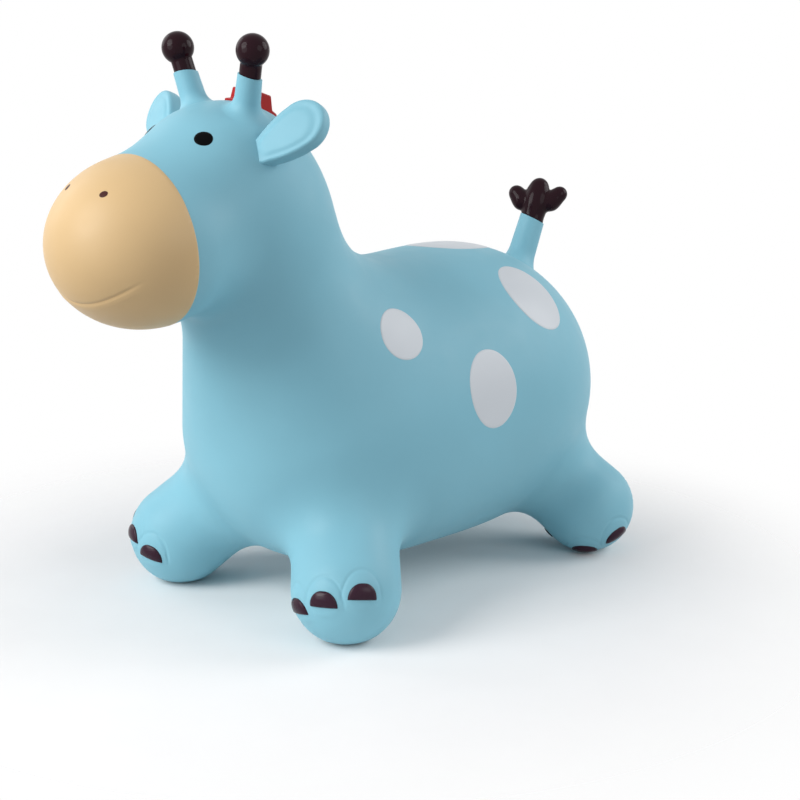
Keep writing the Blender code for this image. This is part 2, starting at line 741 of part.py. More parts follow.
def add_mane(material, cutter):
    """A crest with a low flange before and behind, its top falling to the back."""
    front, _normal = foothold(0, MANE_FRONT, HEAD_CENTRE_HEIGHT + HEAD_HEIGHT / 2, (0, 0, 1))
    base = front[2]
    top = base + MANE_HEIGHT
    sunk = base - MANE_LENGTH * 0.5
    back = MANE_FRONT + MANE_LENGTH
    fall = MANE_HEIGHT * 0.8
    side_view = [(MANE_FRONT - MANE_FLANGE, sunk), (MANE_FRONT - MANE_FLANGE, base + MANE_FLANGE_HEIGHT),
                 (MANE_FRONT, base + MANE_FLANGE_HEIGHT), (MANE_FRONT + MANE_HEIGHT * 0.35, top),
                 (back, top - fall), (back + MANE_FLANGE * 0.2, top - fall * 1.5), (back, sunk)]
    bm = bmesh.new()
    face = bm.faces.new([bm.verts.new((-MANE_WIDTH / 2, y, z)) for y, z in side_view])
    grown = bmesh.ops.extrude_face_region(bm, geom=[face])
    moved = [item for item in grown["geom"] if isinstance(item, bmesh.types.BMVert)]
    bmesh.ops.translate(bm, verts=moved, vec=(MANE_WIDTH, 0, 0))
    mane = add_object("mane", bm, material)
    soften = mane.modifiers.new("soften", "BEVEL")
    soften.width = MANE_FLANGE_HEIGHT / 2
    soften.segments = 2
    cut(mane, cutter)


# Valve and plug.


def add_valve(skin, seat_material, plug_material):
    """A flanged rubber bush through the skin, and the plug that closes its bore."""
    mouth, axis = foothold(0, TRUNK_BACK + TRUNK_LENGTH / 2, VALVE_HEIGHT, (0, 1, 0))
    hole = [(VALVE_TUBE_RADIUS + GAP, -VALVE_TUBE_LENGTH), (VALVE_TUBE_RADIUS + GAP, VALVE_TUBE_LENGTH)]
    drill = hide_helper(add_object("valve_drill", turned(hole, mouth, axis)))
    cut(skin, drill)
    tube = [(VALVE_TUBE_RADIUS * 0.9, -VALVE_TUBE_LENGTH), (VALVE_TUBE_RADIUS, -VALVE_TUBE_LENGTH * 0.85),
            (VALVE_TUBE_RADIUS, GAP), (VALVE_LIP_RADIUS, GAP), (VALVE_LIP_RADIUS, GAP + VALVE_LIP * 0.6),
            (VALVE_LIP_RADIUS * 0.93, GAP + VALVE_LIP)]
    seat = add_object("valve_seat", turned(tube, mouth, axis), seat_material)
    bore = [(VALVE_BORE, -VALVE_TUBE_LENGTH * 2), (VALVE_BORE, VALVE_TUBE_LENGTH)]
    cut(seat, hide_helper(add_object("bore_drill", turned(bore, mouth, axis))))
    face = GAP + VALVE_LIP + GAP
    stem = VALVE_BORE - GAP
    profile = [(stem * 0.55, face - PLUG_LENGTH), (stem - PLUG_RIB, face - PLUG_LENGTH * 0.88)]
    for share in (0.72, 0.48, 0.24):
        profile += [(stem - PLUG_RIB, face - PLUG_LENGTH * (share + 0.06)),
                    (stem, face - PLUG_LENGTH * share),
                    (stem - PLUG_RIB, face - PLUG_LENGTH * (share - 0.06))]
    profile += [(stem - PLUG_RIB, face), (PLUG_HEAD_RADIUS, face),
                (PLUG_HEAD_RADIUS, face + PLUG_HEAD * 0.6), (PLUG_HEAD_RADIUS * 0.85, face + PLUG_HEAD)]
    add_object("air_plug", turned(profile, mouth, axis), plug_material, mouth)


def build():
    clear_scene()
    blue = finish("light_blue_vinyl", BLUE, 0.48)
    beige = finish("beige_coat", BEIGE, 0.55)
    white = finish("white_coat", WHITE, 0.55)
    brown = finish("dark_brown_gloss", BROWN, 0.22)
    black = finish("black_gloss", BLACK, 0.25)
    red = finish("red_vinyl", RED, 0.42)
    clear_white = finish("plug_white", WHITE, 0.4)
    outer = moulding()
    cutter = hide_helper(add_object("moulding_cutter", lifted(outer, GAP)))
    coat_form = hide_helper(add_object("coat_cutter", lifted(outer, GAP + COAT)))
    skin = add_body_skin(outer, blue)
    add_muzzle_coat(outer, beige)
    add_spots(white, cutter, coat_form)
    add_eyes(black, brown)
    for leg in LEGS:
        for side, sign in SIDES:
            add_leg(outer, leg, side, sign, blue)
            add_nails(leg, side, sign, brown)
    for side, sign in SIDES:
        add_horn(side, sign, blue, brown, cutter)
        add_ear(side, sign, blue, cutter)
    add_tail(blue, brown, cutter)
    add_mane(red, cutter)
    add_valve(skin, blue, clear_white)
    outer.free()


build()
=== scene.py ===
import math

import bpy
import numpy as np
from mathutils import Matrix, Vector


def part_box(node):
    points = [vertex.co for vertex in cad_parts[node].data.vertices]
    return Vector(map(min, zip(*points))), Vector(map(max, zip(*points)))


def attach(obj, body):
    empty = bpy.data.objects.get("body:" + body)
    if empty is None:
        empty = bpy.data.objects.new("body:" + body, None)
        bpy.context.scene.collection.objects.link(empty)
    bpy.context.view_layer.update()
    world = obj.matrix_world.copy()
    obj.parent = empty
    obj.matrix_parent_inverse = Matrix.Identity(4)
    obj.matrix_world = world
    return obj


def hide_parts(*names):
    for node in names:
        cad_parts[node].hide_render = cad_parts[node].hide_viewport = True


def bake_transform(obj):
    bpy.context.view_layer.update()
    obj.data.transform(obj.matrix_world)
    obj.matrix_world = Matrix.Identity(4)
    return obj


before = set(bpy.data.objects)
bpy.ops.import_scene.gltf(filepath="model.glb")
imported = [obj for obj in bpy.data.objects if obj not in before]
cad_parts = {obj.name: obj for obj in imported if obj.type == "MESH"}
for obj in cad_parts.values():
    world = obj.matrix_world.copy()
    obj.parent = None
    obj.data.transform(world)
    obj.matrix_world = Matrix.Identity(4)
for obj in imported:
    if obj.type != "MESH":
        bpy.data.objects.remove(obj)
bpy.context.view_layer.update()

# Skin of trunk, neck, head, muzzle and legs: one bladder of soft vinyl, cast hollow in a mould
# and filled with air until taut.  All its forms run into each other in wide fillets, the soles
# are flat, each toe swells a little round its nail and a fine groove draws the mouth.
BLUE = (0.228, 0.496, 0.595)
SIDES = (("left", 1.0), ("right", -1.0))
TRUNK = np.array((0.0, 0.138, 0.159))
TRUNK_RADII = np.array((0.133, 0.152, 0.136))
CHEST = np.array((0.0, -0.023, 0.153))
CHEST_RADIUS = 0.121
NECK = np.array((0.0, -0.093, 0.303))
NECK_RADIUS = 0.062
NECK_FILLET = 0.102
HEAD = np.array((0.0, -0.130, 0.362))
HEAD_RADII = np.array((0.072, 0.083, 0.0765))
HEAD_FILLET = 0.063
MUZZLE = np.array((0.0, -0.211, 0.334))
MUZZLE_RADII = np.array((0.0755, 0.078, 0.068))
MUZZLE_NOD = math.radians(9.6)
MUZZLE_FILLET = 0.025
MUZZLE_SEED = 0.97
FRONT_HIP = np.array((0.046, -0.039, 0.113))
FRONT_FOOT = np.array((0.107, -0.097, 0.0429))
FRONT_RADII = (0.044, 0.0459)
REAR_HIP = np.array((0.048, 0.207, 0.091))
REAR_FOOT = np.array((0.105, 0.231, 0.0415))
REAR_RADII = (0.041, 0.0445)
LEG_FILLET = 0.031
SOLE_ROUNDING = 0.005
SKIN_FACET = 0.0042
COLUMN_BALLS = 8
DRAW_ROUNDS = 10
SMOOTH_ROUNDS = 3
TOE_LEANS = {"front": (12.0, 3.0, -7.0), "rear": (0.0, 0.0, 29.0)}
TOE_SHIFTS = {
    "nail_front_right_3": -0.007,
    "nail_rear_left_1": -0.015,
    "nail_rear_right_1": 0.015,
}
TOE_WIDTH = 0.034
TOE_TALL = 0.72
TOE_DROP = 0.006
TOE_SQUAT = 2.2
TOE_DEPTH = 0.012
TOE_RISE = 0.0007
TOE_SWELL = (0.55, 1.05)
TOE_CREASE = 0.0006
CREASE_HALF = 0.06
CREASE_FADE = (-0.15, 0.25)
TOE_PATCH = 0.030
SMILE_HEIGHT = 0.2928
SMILE_CURVE = 6.3
SMILE_REACH = 0.061
SMILE_FADE = 0.75
SMILE_BACK = -0.24
SMILE_DEPTH = 0.0008
SMILE_HALF = 0.0011
SMILE_PATCH = 0.011
SMILE_MARGIN = 0.004
UNDERLIP_SHARE = 0.35
UNDERLIP_DROP = 3.6
UNDERLIP_SPREAD = 2.2
STEM_PATCH = 0.052
NOISE_SPAN = (0.3, 0.7)
DRIFT_SCALE = 14.0
HAZE_SCALE = 55.0
PORE_SCALE = 900.0
GLOSS_SPREAD = 0.05
GRAIN_DEPTH = 0.0004


def ellipsoid(points, centre, radii, nod=0.0):
    """Signed distance, nearly, to an ellipsoid nodded about the sideways axis."""
    offset = points - centre
    along = offset[:, 1] * math.cos(nod) + offset[:, 2] * math.sin(nod)
    rise = offset[:, 2] * math.cos(nod) - offset[:, 1] * math.sin(nod)
    turned = np.column_stack((offset[:, 0], along, rise))
    reach = np.linalg.norm(turned / radii, axis=1) + 1e-9
    slope = np.linalg.norm(turned / radii**2, axis=1) + 1e-9
    return reach * (reach - 1.0) / slope


def round_cone(points, start, end, radii):
    """Signed distance to a cone with a ball at each end."""
    axis = end - start
    length = np.linalg.norm(axis)
    offset = points - start
    along = offset @ axis / length
    across = np.sqrt(np.maximum((offset**2).sum(axis=1) - along**2, 0.0))
    sine = (radii[0] - radii[1]) / length
    cosine = math.sqrt(1.0 - sine**2)
    station = np.clip((along - across * sine / cosine) / length, 0.0, 1.0)
    return np.hypot(across, along - station * length) - radii[0] - (radii[1] - radii[0]) * station


def fillet(first, second, width):
    """Joins two distances with a fillet between their forms."""
    overlap = np.maximum(width - np.abs(first - second), 0.0) / width
    return np.minimum(first, second) - overlap**2 * width / 4


def skin_form(points):
    """Signed distance to the bare skin, negative inside it."""
    half = points.copy()
    half[:, 0] = np.abs(half[:, 0])
    value = ellipsoid(points, TRUNK, TRUNK_RADII)
    value = fillet(value, round_cone(points, CHEST, NECK, (CHEST_RADIUS, NECK_RADIUS)), NECK_FILLET)
    value = fillet(value, ellipsoid(points, HEAD, HEAD_RADII), HEAD_FILLET)
    value = fillet(value, ellipsoid(points, MUZZLE, MUZZLE_RADII, MUZZLE_NOD), MUZZLE_FILLET)
    value = fillet(value, round_cone(half, FRONT_HIP, FRONT_FOOT, FRONT_RADII), LEG_FILLET)
    value = fillet(value, round_cone(half, REAR_HIP, REAR_FOOT, REAR_RADII), LEG_FILLET)
    return -fillet(-value, points[:, 2], SOLE_ROUNDING)


def outward(field, points):
    """The field's outward direction at each point."""
    step = 1e-4
    slopes = np.empty_like(points)
    for axis in range(3):
        shift = np.zeros(3)
        shift[axis] = step
        slopes[:, axis] = field(points + shift) - field(points - shift)
    return slopes / (np.linalg.norm(slopes, axis=1, keepdims=True) + 1e-12)


def drawn_to(field, points):
    """Moves the points onto the field's surface."""
    for _ in range(DRAW_ROUNDS):
        points = points - outward(field, points) * field(points)[:, None]
    return points


def smoothstep(low, high, values):
    share = np.clip((values - low) / (high - low), 0.0, 1.0)
    return share * share * (3.0 - 2.0 * share)


def deselect():
    bpy.ops.object.select_all(action="DESELECT")


def places(piece):
    flat = np.empty(len(piece.data.vertices) * 3)
    piece.data.vertices.foreach_get("co", flat)
    return flat.reshape(-1, 3)


def set_places(piece, points):
    piece.data.vertices.foreach_set("co", np.ascontiguousarray(points).ravel())
    piece.data.update()


def applied(piece, kind, **values):
    """Adds a modifier of the kind to the piece and applies it."""
    deselect()
    piece.select_set(True)
    bpy.context.view_layer.objects.active = piece
    change = piece.modifiers.new(kind, kind)
    for key, value in values.items():
        setattr(change, key, value)
    bpy.ops.object.modifier_apply(modifier=change.name)


def edited(piece, *steps):
    """Runs mesh steps, each a name with its values, on all of the piece in edit mode."""
    deselect()
    piece.select_set(True)
    bpy.context.view_layer.objects.active = piece
    bpy.ops.object.mode_set(mode="EDIT")
    for step, values in steps:
        bpy.ops.mesh.select_all(action="SELECT")
        getattr(bpy.ops.mesh, step)(**values)
    bpy.ops.object.mode_set(mode="OBJECT")


def refined(piece, near, cuts):
    """Divides the faces whose middles the test picks."""
    bpy.context.tool_settings.mesh_select_mode = (False, False, True)
    edited(piece, ("select_all", {"action": "DESELECT"}))
    middles = np.empty(len(piece.data.polygons) * 3)
    piece.data.polygons.foreach_get("center", middles)
    piece.data.polygons.foreach_set("select", near(middles.reshape(-1, 3)))
    bpy.ops.object.mode_set(mode="EDIT")
    bpy.ops.mesh.subdivide(number_cuts=cuts)
    bpy.ops.object.mode_set(mode="OBJECT")


def ball(centre, radii):
    deselect()
    bpy.ops.mesh.primitive_uv_sphere_add(segments=32, ring_count=16, location=centre, scale=radii)
    return bpy.context.object


def column(start, end, radii):
    """A row of balls from start to end, their radii running from the first to the second."""
    balls = []
    for share in np.linspace(0.0, 1.0, COLUMN_BALLS):
        radius = radii[0] + (radii[1] - radii[0]) * share
        balls.append(ball(start + (end - start) * share, [radius] * 3))
    return balls


def remeshed(name, seeds, facet, field):
    """Joins overlapping seeds into one even closed mesh and draws it onto the field."""
    deselect()
    for seed in seeds:
        seed.select_set(True)
    bpy.context.view_layer.objects.active = seeds[0]
    bpy.ops.object.join()
    bpy.ops.object.transform_apply(location=True, rotation=True, scale=True)
    piece = bpy.context.object
    piece.name = name
    piece.data.name = name
    applied(piece, "REMESH", mode="VOXEL", voxel_size=facet)
    for _ in range(SMOOTH_ROUNDS):
        applied(piece, "SMOOTH", factor=0.5, iterations=6)
        set_places(piece, drawn_to(field, places(piece)))
    return piece


def shaded(piece, material):
    deselect()
    piece.select_set(True)
    bpy.context.view_layer.objects.active = piece
    bpy.ops.object.shade_smooth()
    piece.data.materials.clear()
    piece.data.materials.append(material)


def vinyl(name, colour, roughness, mottle, grain, specular):
    """Soft plastic: a slow drift of the tint, uneven gloss and a fine grain of the mould."""
    material = bpy.data.materials.new(name)
    material.use_nodes = True
    nodes = material.node_tree.nodes
    links = material.node_tree.links
    shader = nodes["Principled BSDF"]
    place = nodes.new("ShaderNodeTexCoord")
    drift = nodes.new("ShaderNodeTexNoise")
    drift.inputs["Scale"].default_value = DRIFT_SCALE
    drift.inputs["Detail"].default_value = 4.0
    tint = nodes.new("ShaderNodeMapRange")
    tint.inputs["From Min"].default_value = NOISE_SPAN[0]
    tint.inputs["From Max"].default_value = NOISE_SPAN[1]
    tint.inputs["To Min"].default_value = 1.0 - mottle
    tint.inputs["To Max"].default_value = 1.0 + mottle
    paint = nodes.new("ShaderNodeHueSaturation")
    paint.inputs["Color"].default_value = (*colour, 1.0)
    haze = nodes.new("ShaderNodeTexNoise")
    haze.inputs["Scale"].default_value = HAZE_SCALE
    haze.inputs["Detail"].default_value = 3.0
    gloss = nodes.new("ShaderNodeMapRange")
    gloss.inputs["From Min"].default_value = NOISE_SPAN[0]
    gloss.inputs["From Max"].default_value = NOISE_SPAN[1]
    gloss.inputs["To Min"].default_value = roughness - GLOSS_SPREAD
    gloss.inputs["To Max"].default_value = roughness + GLOSS_SPREAD
    pores = nodes.new("ShaderNodeTexNoise")
    pores.inputs["Scale"].default_value = PORE_SCALE
    pores.inputs["Detail"].default_value = 2.0
    relief = nodes.new("ShaderNodeBump")
    relief.inputs["Strength"].default_value = grain
    relief.inputs["Distance"].default_value = GRAIN_DEPTH
    for texture in (drift, haze, pores):
        links.new(place.outputs["Object"], texture.inputs["Vector"])
    links.new(drift.outputs["Fac"], tint.inputs["Value"])
    links.new(tint.outputs["Result"], paint.inputs["Value"])
    links.new(paint.outputs["Color"], shader.inputs["Base Color"])
    links.new(haze.outputs["Fac"], gloss.inputs["Value"])
    links.new(gloss.outputs["Result"], shader.inputs["Roughness"])
    links.new(pores.outputs["Fac"], relief.inputs["Height"])
    links.new(relief.outputs["Normal"], shader.inputs["Normal"])
    shader.inputs["Specular IOR Level"].default_value = specular
    return material


def unit(vector):
    return np.array(vector) / np.linalg.norm(vector)


def seat(point, upward=(0.0, 0.0, 1.0)):
    """The nearest place on the skin, with the outward, sideways and upward directions there."""
    centre = drawn_to(skin_form, np.array([point]))
    out = outward(skin_form, centre)[0]
    side = unit(np.cross(upward, out))
    return centre[0], out, side, np.cross(out, side)


def middle(node):
    """The middle of a solid's box."""
    low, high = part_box(node)
    return [(a + b) / 2 for a, b in zip(low, high)]


TOE_SEATS = {}
for end, leans in TOE_LEANS.items():
    for side, sign in SIDES:
        for toe, lean in enumerate(leans, start=1):
            name = f"nail_{end}_{side}_{toe}"
            centre, out, across, up = seat(middle(name))
            centre, out, across, up = seat(centre + across * TOE_SHIFTS.get(name, 0.0))
            cosine = math.cos(math.radians(lean))
            sine = math.sin(math.radians(lean)) * sign
            leaned = (across * cosine + up * sine, up * cosine - across * sine)
            TOE_SEATS[name] = (centre, out, *leaned)


def toe_relief(points):
    """A low swelling round each nail, with a crease along its upper edge."""
    relief = np.zeros(len(points))
    for centre, out, side, up in TOE_SEATS.values():
        offset = points - centre
        near = np.abs(offset @ out) < TOE_DEPTH
        u = offset @ side / (TOE_WIDTH / 2)
        v = (offset @ up + TOE_DROP) / (TOE_WIDTH * TOE_TALL)
        reach = np.hypot(u, np.where(v > 0.0, v, v * TOE_SQUAT))
        swell = TOE_RISE * (1.0 - smoothstep(*TOE_SWELL, reach))
        crease = TOE_CREASE * np.exp(-(((reach - 1.0) / CREASE_HALF) ** 2))
        crease = crease * smoothstep(*CREASE_FADE, v)
        relief = np.where(near, relief + swell - crease, relief)
    return relief


def smile_line(points):
    """How far the points lie above the mouth's curve."""
    return points[:, 2] - SMILE_HEIGHT - SMILE_CURVE * points[:, 0] ** 2


def smile_relief(points):
    """The mouth: a fine groove with a faint lip under it, fading out at both ends."""
    line = smile_line(points)
    fade = 1.0 - smoothstep(SMILE_REACH * SMILE_FADE, SMILE_REACH, np.abs(points[:, 0]))
    fade = fade * (points[:, 1] < SMILE_BACK)
    groove = -SMILE_DEPTH * np.exp(-((line / SMILE_HALF) ** 2))
    under = (line + UNDERLIP_DROP * SMILE_HALF) / (UNDERLIP_SPREAD * SMILE_HALF)
    lip = UNDERLIP_SHARE * SMILE_DEPTH * np.exp(-(under**2))
    return fade * (groove + lip)


def near_toes(points):
    nearest = [np.linalg.norm(points - seats[0], axis=1) for seats in TOE_SEATS.values()]
    return np.min(nearest, axis=0) < TOE_PATCH


def near_smile(points):
    level = np.abs(smile_line(points)) < SMILE_PATCH
    aside = np.abs(points[:, 0]) < SMILE_REACH + SMILE_MARGIN
    return level & aside & (points[:, 1] < SMILE_BACK)


def near_stems(points):
    roots = [middle(node) for node in ("horn_left", "horn_right", "tail_stalk")]
    nearest = [np.linalg.norm(points - root, axis=1) for root in roots]
    return np.min(nearest, axis=0) < STEM_PATCH


def skin_relief(points):
    return toe_relief(points) + smile_relief(points)


seeds = [ball(TRUNK, TRUNK_RADII), ball(HEAD, HEAD_RADII), ball(MUZZLE, MUZZLE_RADII * MUZZLE_SEED)]
seeds += column(CHEST, NECK, (CHEST_RADIUS, NECK_RADIUS))
for _, sign in SIDES:
    mirror = np.array((sign, 1.0, 1.0))
    seeds += column(FRONT_HIP * mirror, FRONT_FOOT * mirror, FRONT_RADII)
    seeds += column(REAR_HIP * mirror, REAR_FOOT * mirror, REAR_RADII)
skin = remeshed("blue_skin", seeds, SKIN_FACET, skin_form)
refined(skin, near_stems, cuts=1)
refined(skin, near_toes, cuts=3)
refined(skin, near_smile, cuts=4)
points = drawn_to(skin_form, places(skin))
set_places(skin, points + outward(skin_form, points) * skin_relief(points)[:, None])
blue_vinyl = vinyl("blue vinyl", BLUE, roughness=0.48, mottle=0.025, grain=0.10, specular=0.22)
shaded(skin, blue_vinyl)
legs = [f"leg_{end}_{side}" for end in ("front", "rear") for side, _ in SIDES]
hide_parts("body_skin", *legs)

# Coat of the muzzle: beige vinyl paint sprayed over a mask, so that its edge is crisp and lies
# flush.  It is cut out of the skin's own surface and stands a third of a millimetre over it.
BEIGE = (0.650, 0.451, 0.230)
COAT_EDGE = -0.2203
COAT_SLOPE = 0.100
COAT_BOW = 0.75
COAT_LIFT = 0.00035
COAT_TUCK = 0.0003
COAT_DEPTH = 0.0008
COAT_RING = 0.0009
COAT_RAMP = 0.0008


def coat_edge(points):
    """Where the coat ends toward the back, at each point's height and distance from the middle."""
    top = MUZZLE[2] + MUZZLE_RADII[2]
    return COAT_EDGE + COAT_SLOPE * (top - points[:, 2]) - COAT_BOW * points[:, 0] ** 2


deselect()
skin.select_set(True)
bpy.context.view_layer.objects.active = skin
bpy.ops.object.duplicate()
coat = bpy.context.object
coat.name = "beige_muzzle"
coat.data.name = "beige_muzzle"
for key in [key for key in coat.keys() if key.startswith("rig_")]:
    del coat[key]
points = places(coat)
points[:, 1] -= coat_edge(points)
set_places(coat, points)
edited(
    coat,
    ("bisect", {"plane_co": (0.0, 0.0, 0.0), "plane_no": (0.0, 1.0, 0.0), "clear_outer": True}),
    ("bisect", {"plane_co": (0.0, -COAT_RING, 0.0), "plane_no": (0.0, 1.0, 0.0)}),
)
points = places(coat)
inside = smoothstep(0.0, COAT_RAMP, -points[:, 1])
points[:, 1] += coat_edge(points)
lift = COAT_LIFT * inside - COAT_TUCK * (1.0 - inside)
set_places(coat, points + outward(skin_form, points) * lift[:, None])
applied(coat, "SOLIDIFY", thickness=COAT_DEPTH, offset=-1.0)
shaded(coat, vinyl("beige coat", BEIGE, roughness=0.42, mottle=0.025, grain=0.08, specular=0.22))
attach(coat, "trunk")
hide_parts("muzzle_coat")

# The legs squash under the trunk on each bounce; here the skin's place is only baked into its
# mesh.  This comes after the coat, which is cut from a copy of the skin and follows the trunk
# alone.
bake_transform(skin)

# Spots: ovals of white vinyl paint, stencilled on shoulders, flanks, haunch and back.  Each is a
# thin disc that follows the skin and sinks into it at the edge.
WHITE = (0.612, 0.647, 0.676)
SPOTS = {
    "spot_front_left": (0.0450, 0.0480, -15.0, (0.133, -0.019, 0.2455), (1.0, 0.0, 0.0)),
    "spot_rear_left": (0.0580, 0.0700, -5.0, (0.133, 0.062, 0.1900), (1.0, 0.0, 0.0)),
    "spot_haunch_left": (0.0630, 0.0765, 11.0, (0.0935, 0.157, 0.2570), (0.690, 0.0, 0.724)),
    "spot_haunch_right": (0.0700, 0.0880, 0.0, (-0.006, 0.150, 0.3000), (0.0, 0.0, 1.0)),
    "spot_front_right": (0.0450, 0.0480, 15.0, (-0.133, -0.010, 0.2400), (-1.0, 0.0, 0.0)),
    "spot_rear_right": (0.0580, 0.0700, 5.0, (-0.133, 0.077, 0.1860), (-1.0, 0.0, 0.0)),
}
SPOT_LIFT = 0.00035
SPOT_TUCK = 0.00030
SPOT_DEPTH = 0.0008
SPOT_RIM = 0.955
SPOT_CELLS = 44
SEAT_ROUNDS = 40
LAY_ROUNDS = 30
STEEP_RAY = 0.9


def grid(name, columns, rows):
    """A flat grid over -1 to 1 both ways."""
    deselect()
    bpy.ops.mesh.primitive_grid_add(x_subdivisions=columns, y_subdivisions=rows, size=2.0)
    piece = bpy.context.object
    piece.name = name
    piece.data.name = name
    return piece


def rounded(flat):
    """Maps the grid's square onto the unit disc."""
    u = flat[:, 0] * np.sqrt(1.0 - flat[:, 1] ** 2 / 2.0)
    v = flat[:, 1] * np.sqrt(1.0 - flat[:, 0] ** 2 / 2.0)
    return u, v


def laid(piece, seats, u, v, level):
    """Lays the points at u sideways and v upward of the seat onto the skin, then lifts them."""
    centre, out, side, up = seats
    points = centre + np.outer(u, side) + np.outer(v, up)
    for _ in range(LAY_ROUNDS):
        points = points - np.outer(skin_form(points), out)
    points = points + outward(skin_form, points) * (level + skin_relief(points))[:, None]
    set_places(piece, points)


def turned(u, v, degrees):
    cosine = math.cos(math.radians(degrees))
    sine = math.sin(math.radians(degrees))
    return u * cosine - v * sine, u * sine + v * cosine


white_coat = vinyl("white coat", WHITE, roughness=0.38, mottle=0.02, grain=0.08, specular=0.28)
for node, (width, height, lean, point, ray) in SPOTS.items():
    for _ in range(SEAT_ROUNDS):
        point = point - np.array(ray) * skin_form(np.array([point]))[0]
    spot = grid("white_" + node, SPOT_CELLS, SPOT_CELLS)
    u, v = rounded(places(spot))
    rim = smoothstep(SPOT_RIM, 1.0, np.hypot(u, v))
    u, v = turned(u * width / 2, v * height / 2, lean)
    upward = (0.0, 1.0, 0.0) if ray[2] > STEEP_RAY else (0.0, 0.0, 1.0)
    laid(spot, seat(point, upward), u, v, SPOT_LIFT * (1.0 - rim) - SPOT_TUCK * rim)
    applied(spot, "SOLIDIFY", thickness=SPOT_DEPTH, offset=-1.0)
    shaded(spot, white_coat)
    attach(spot, "trunk")
    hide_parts(node)

# Eyes and nostrils: small ovals of glossy paint, black and reddish brown, domed where the paint
# has drawn together.
BLACK = (0.003, 0.003, 0.0035)
NOSTRIL_BROWN = (0.060, 0.022, 0.020)
EYE_SIZE = (0.0152, 0.0145)
EYE_RISE = 0.0011
EYE_LEAN = -8.0
NOSTRIL_SIZE = (0.0086, 0.0074)
NOSTRIL_RISE = 0.0006
NOSTRIL_SPREAD = 0.0018
NOSTRIL_LEAN = 20.0
PAINT_TUCK = 0.0003
PAINT_DEPTH = 0.0006
PAINT_DOME = 3
PAINT_CELLS = 30
FACE_SHIFTS = {
    "eye_right": (-0.001, 0.0075, -0.0012),
    "nostril_right": (-0.0025, 0.0, 0.0035),
}

black_gloss = vinyl("black gloss", BLACK, roughness=0.24, mottle=0.10, grain=0.02, specular=0.03)
nostril_gloss = vinyl("nostril gloss", NOSTRIL_BROWN,
                      roughness=0.30, mottle=0.25, grain=0.04, specular=0.06)
for side, sign in SIDES:
    for kind, size, rise, spread, lean, paint, slot in (
        ("eye", EYE_SIZE, EYE_RISE, 0.0, EYE_LEAN, black_gloss, "black_gloss"),
        ("nostril", NOSTRIL_SIZE, NOSTRIL_RISE, NOSTRIL_SPREAD, NOSTRIL_LEAN, nostril_gloss,
         "nostril_coat"),
    ):
        node = f"{kind}_{side}"
        dot = grid("dark_" + node, PAINT_CELLS, PAINT_CELLS)
        u, v = rounded(places(dot))
        dome = np.sqrt(np.maximum(1.0 - np.hypot(u, v) ** PAINT_DOME, 0.0))
        level = (rise + PAINT_TUCK) * dome - PAINT_TUCK
        u, v = turned(u * size[0] / 2, v * size[1] / 2, lean * sign)
        place = middle(node) + np.array((spread * sign, 0.0, 0.0))
        place = place + np.array(FACE_SHIFTS.get(node, (0.0, 0.0, 0.0)))
        laid(dot, seat(place), u, v, level)
        applied(dot, "SOLIDIFY", thickness=PAINT_DEPTH, offset=-1.0)
        shaded(dot, paint)
        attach(dot, "trunk")
        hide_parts(node)

# Nails: thick half discs of dark glossy vinyl paint on moulded pads, flat edge down, three on
# each foot.  On the toy they squash along with the foot they sit on; here each is baked in place.
BROWN = (0.020, 0.006, 0.0095)
NAIL_BROWN = (0.031, 0.010, 0.021)
NAIL_WIDTH = 0.0248
NAIL_HEIGHT = 0.0138
NAIL_RISE = 0.0013
NAIL_TUCK = 0.0004
NAIL_DOME = 0.0013
NAIL_DEPTH = 0.0008
NAIL_ARCH = 2.3
NAIL_POINT = 0.999
NAIL_SEAT = 0.45
NAIL_SQUARE = 8
NAIL_RAMP = (-0.001, 0.10)
NAIL_CELLS = (34, 26)

brown_gloss = vinyl("dark brown gloss", BROWN,
                    roughness=0.11, mottle=0.10, grain=0.03, specular=0.085)
nail_gloss = vinyl("nail gloss", NAIL_BROWN, roughness=0.25, mottle=0.10, grain=0.03, specular=0.17)
for node, toe_seat in TOE_SEATS.items():
    nail = grid("dark_" + node, *NAIL_CELLS)
    flat = places(nail)
    share = (flat[:, 1] + 1.0) / 2.0
    round_off = np.sqrt(np.maximum(1.0 - (share * NAIL_POINT) ** NAIL_ARCH, 0.0))
    u = flat[:, 0] * NAIL_WIDTH / 2 * round_off
    v = (share - NAIL_SEAT) * NAIL_HEIGHT
    edge = np.minimum(1.0 - np.abs(flat[:, 0]) ** NAIL_SQUARE, 1.0 - share**NAIL_SQUARE)
    edge = np.minimum(edge, smoothstep(*NAIL_RAMP, share))
    level = (NAIL_RISE + NAIL_TUCK) * np.sqrt(np.maximum(edge, 0.0)) - NAIL_TUCK
    level += NAIL_DOME * (1.0 - flat[:, 0] ** 2) * np.sin(np.pi * share)
    laid(nail, toe_seat, u, v, level)
    applied(nail, "SOLIDIFY", thickness=NAIL_DEPTH, offset=-1.0)
    shaded(nail, nail_gloss)
    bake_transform(nail)
    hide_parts(node)
